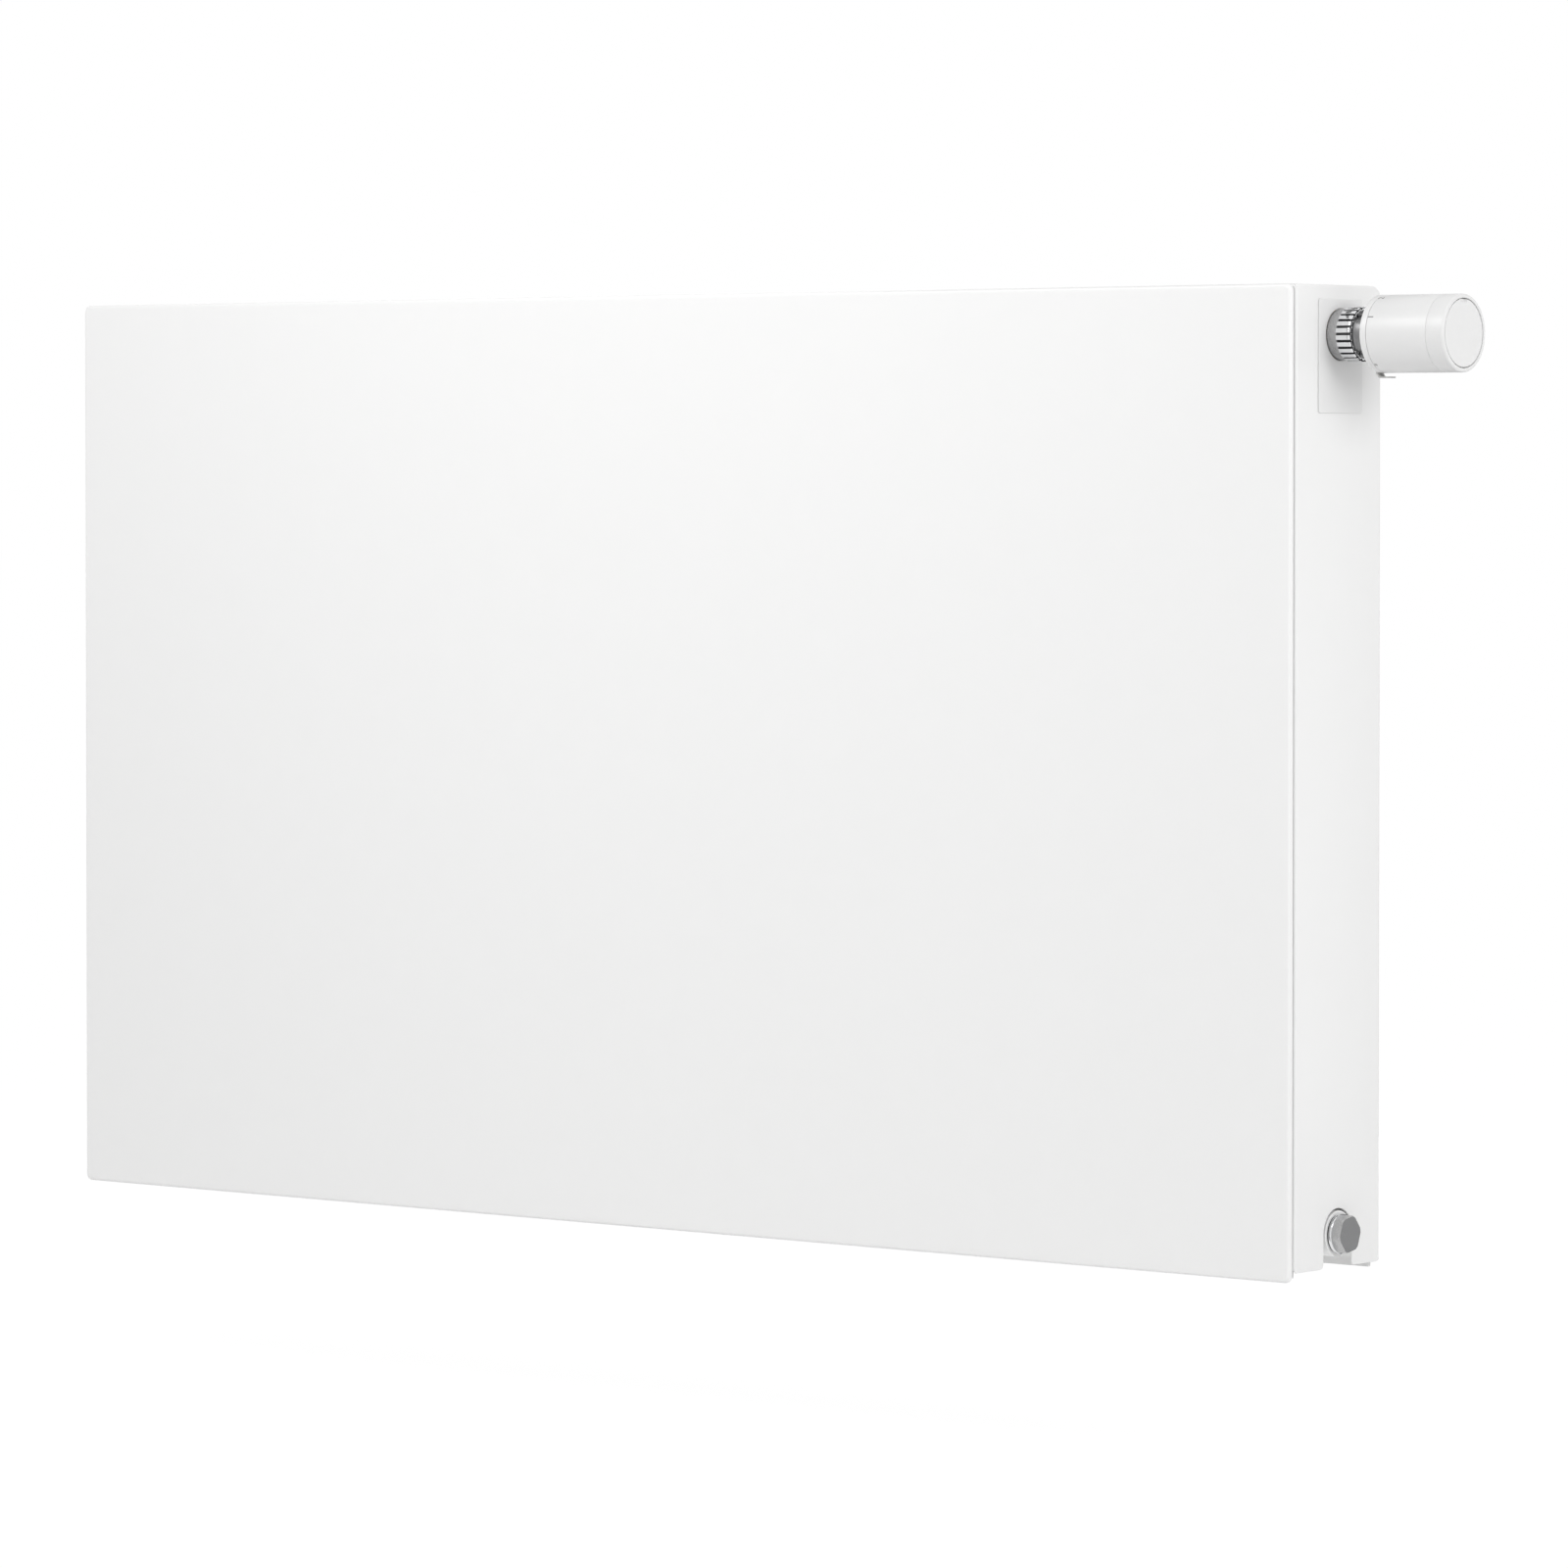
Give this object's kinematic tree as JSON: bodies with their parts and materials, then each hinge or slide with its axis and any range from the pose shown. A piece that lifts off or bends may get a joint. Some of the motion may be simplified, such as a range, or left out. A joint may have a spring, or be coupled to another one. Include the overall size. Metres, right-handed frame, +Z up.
{
  "type": "radiator with valve",
  "caption": "Flat-front steel panel radiator in white enamel with side covers, top grille, bottom pipe nipples and a thermostatic valve head on its right end.",
  "frame": {"origin": "middle of the four hanging lugs on the back, on the plane of their wall-side faces", "axes": "+X along the radiator towards the valve end, +Y towards the wall, +Z up"},
  "size_m": [1.1085, 0.1115, 0.6],
  "materials": {
    "white_enamel": "gloss",
    "white_plastic": "satin",
    "clip_plastic": "matte",
    "chrome": "polished",
    "satin_nickel": "satin",
    "brass": "turned",
    "seal_rubber": "matte",
    "spring_steel": "bright",
    "capsule_metal": "satin"
  },
  "bodies": {
    "radiator": {"front_cover_plate": "white_enamel", "front_water_panel": "white_enamel", "rear_water_panel": "white_enamel", "front_convector": "white_enamel", "rear_convector": "white_enamel", "right_side_cover": "white_enamel", "left_side_cover": "white_enamel", "valve_housing": "white_enamel", "bottom_right_tee": "white_enamel", "top_left_tee": "white_enamel", "bottom_left_tee": "white_enamel", "connection_bracket": "white_enamel", "riser_pipe": "white_enamel", "hanging_lugs": "white_enamel", "valve_escutcheon_plate": "white_plastic", "vent_escutcheon_plate": "white_plastic", "head_base": "white_plastic", "index_ring": "white_plastic", "limit_clip": "white_plastic", "side_cover_clips": "clip_plastic", "grille_clips": "clip_plastic", "union_nut": "chrome", "bottom_right_plug": "chrome", "bottom_left_plug": "chrome", "air_vent_body": "chrome", "neck_collar": "satin_nickel", "supply_nipple": "satin_nickel", "return_nipple": "satin_nickel", "valve_insert_body": "brass", "gland_nut": "brass", "right_plug_gasket": "seal_rubber", "left_plug_gasket": "seal_rubber", "valve_insert_gasket": "seal_rubber", "air_vent_gasket": "seal_rubber", "front_plate_bonding_strips": "seal_rubber", "valve_spring": "spring_steel"},
    "handle": {"handle_sleeve": "white_plastic", "handle_end_ring": "white_plastic", "end_cap": "white_plastic", "drive_ring": "white_plastic"},
    "sensor": {"sensor_carriage": "white_plastic", "sensor_capsule": "capsule_metal", "overtravel_spring": "spring_steel", "push_rod": "satin_nickel"},
    "valve_stem": {"valve_spindle": "satin_nickel", "valve_disc": "seal_rubber"},
    "presetting": {"presetting_dial": "clip_plastic"},
    "bleed_screw": {"vent_screw": "brass"},
    "bleed_nozzle": {"vent_nozzle": "white_plastic"},
    "grille": {"top_grille": "white_enamel"}
  },
  "joints": [
    {"name": "handle_turn", "type": "hinge", "parent": "radiator", "child": "handle", "pos_m": [0.555, -0.0595, 0.27], "axis": [1, 0, 0], "range_deg": [-160, 80]},
    {"name": "sensor_travel", "type": "slide", "parent": "radiator", "child": "sensor", "axis": [1, 0, 0], "range_m": [-0.0018, 0.0009]},
    {"name": "valve_lift", "type": "slide", "parent": "radiator", "child": "valve_stem", "axis": [1, 0, 0], "range_m": [-0.0018, 0.0009], "deforming": ["valve_spring"]},
    {"name": "presetting_turn", "type": "hinge", "parent": "radiator", "child": "presetting", "pos_m": [0.511, -0.0595, 0.27], "axis": [1, 0, 0], "range_deg": [0, 240]},
    {"name": "bleed_screw_turn", "type": "hinge", "parent": "radiator", "child": "bleed_screw", "pos_m": [-0.51, -0.0595, 0.27], "axis": [-1, 0, 0], "range_deg": [0, 270]},
    {"name": "bleed_nozzle_swivel", "type": "hinge", "parent": "radiator", "child": "bleed_nozzle", "pos_m": [-0.51, -0.0595, 0.27], "axis": [-1, 0, 0], "continuous": true},
    {"name": "grille_lift", "type": "slide", "parent": "radiator", "child": "grille", "axis": [0, 0, 1], "range_m": [0, 0.05]}
  ],
  "couplings": [
    {"joint": "sensor_travel", "follows": "handle_turn", "m_per_rad": 0.000644},
    {"joint": "valve_lift", "follows": "handle_turn", "m_per_rad": 0.000644}
  ]
}
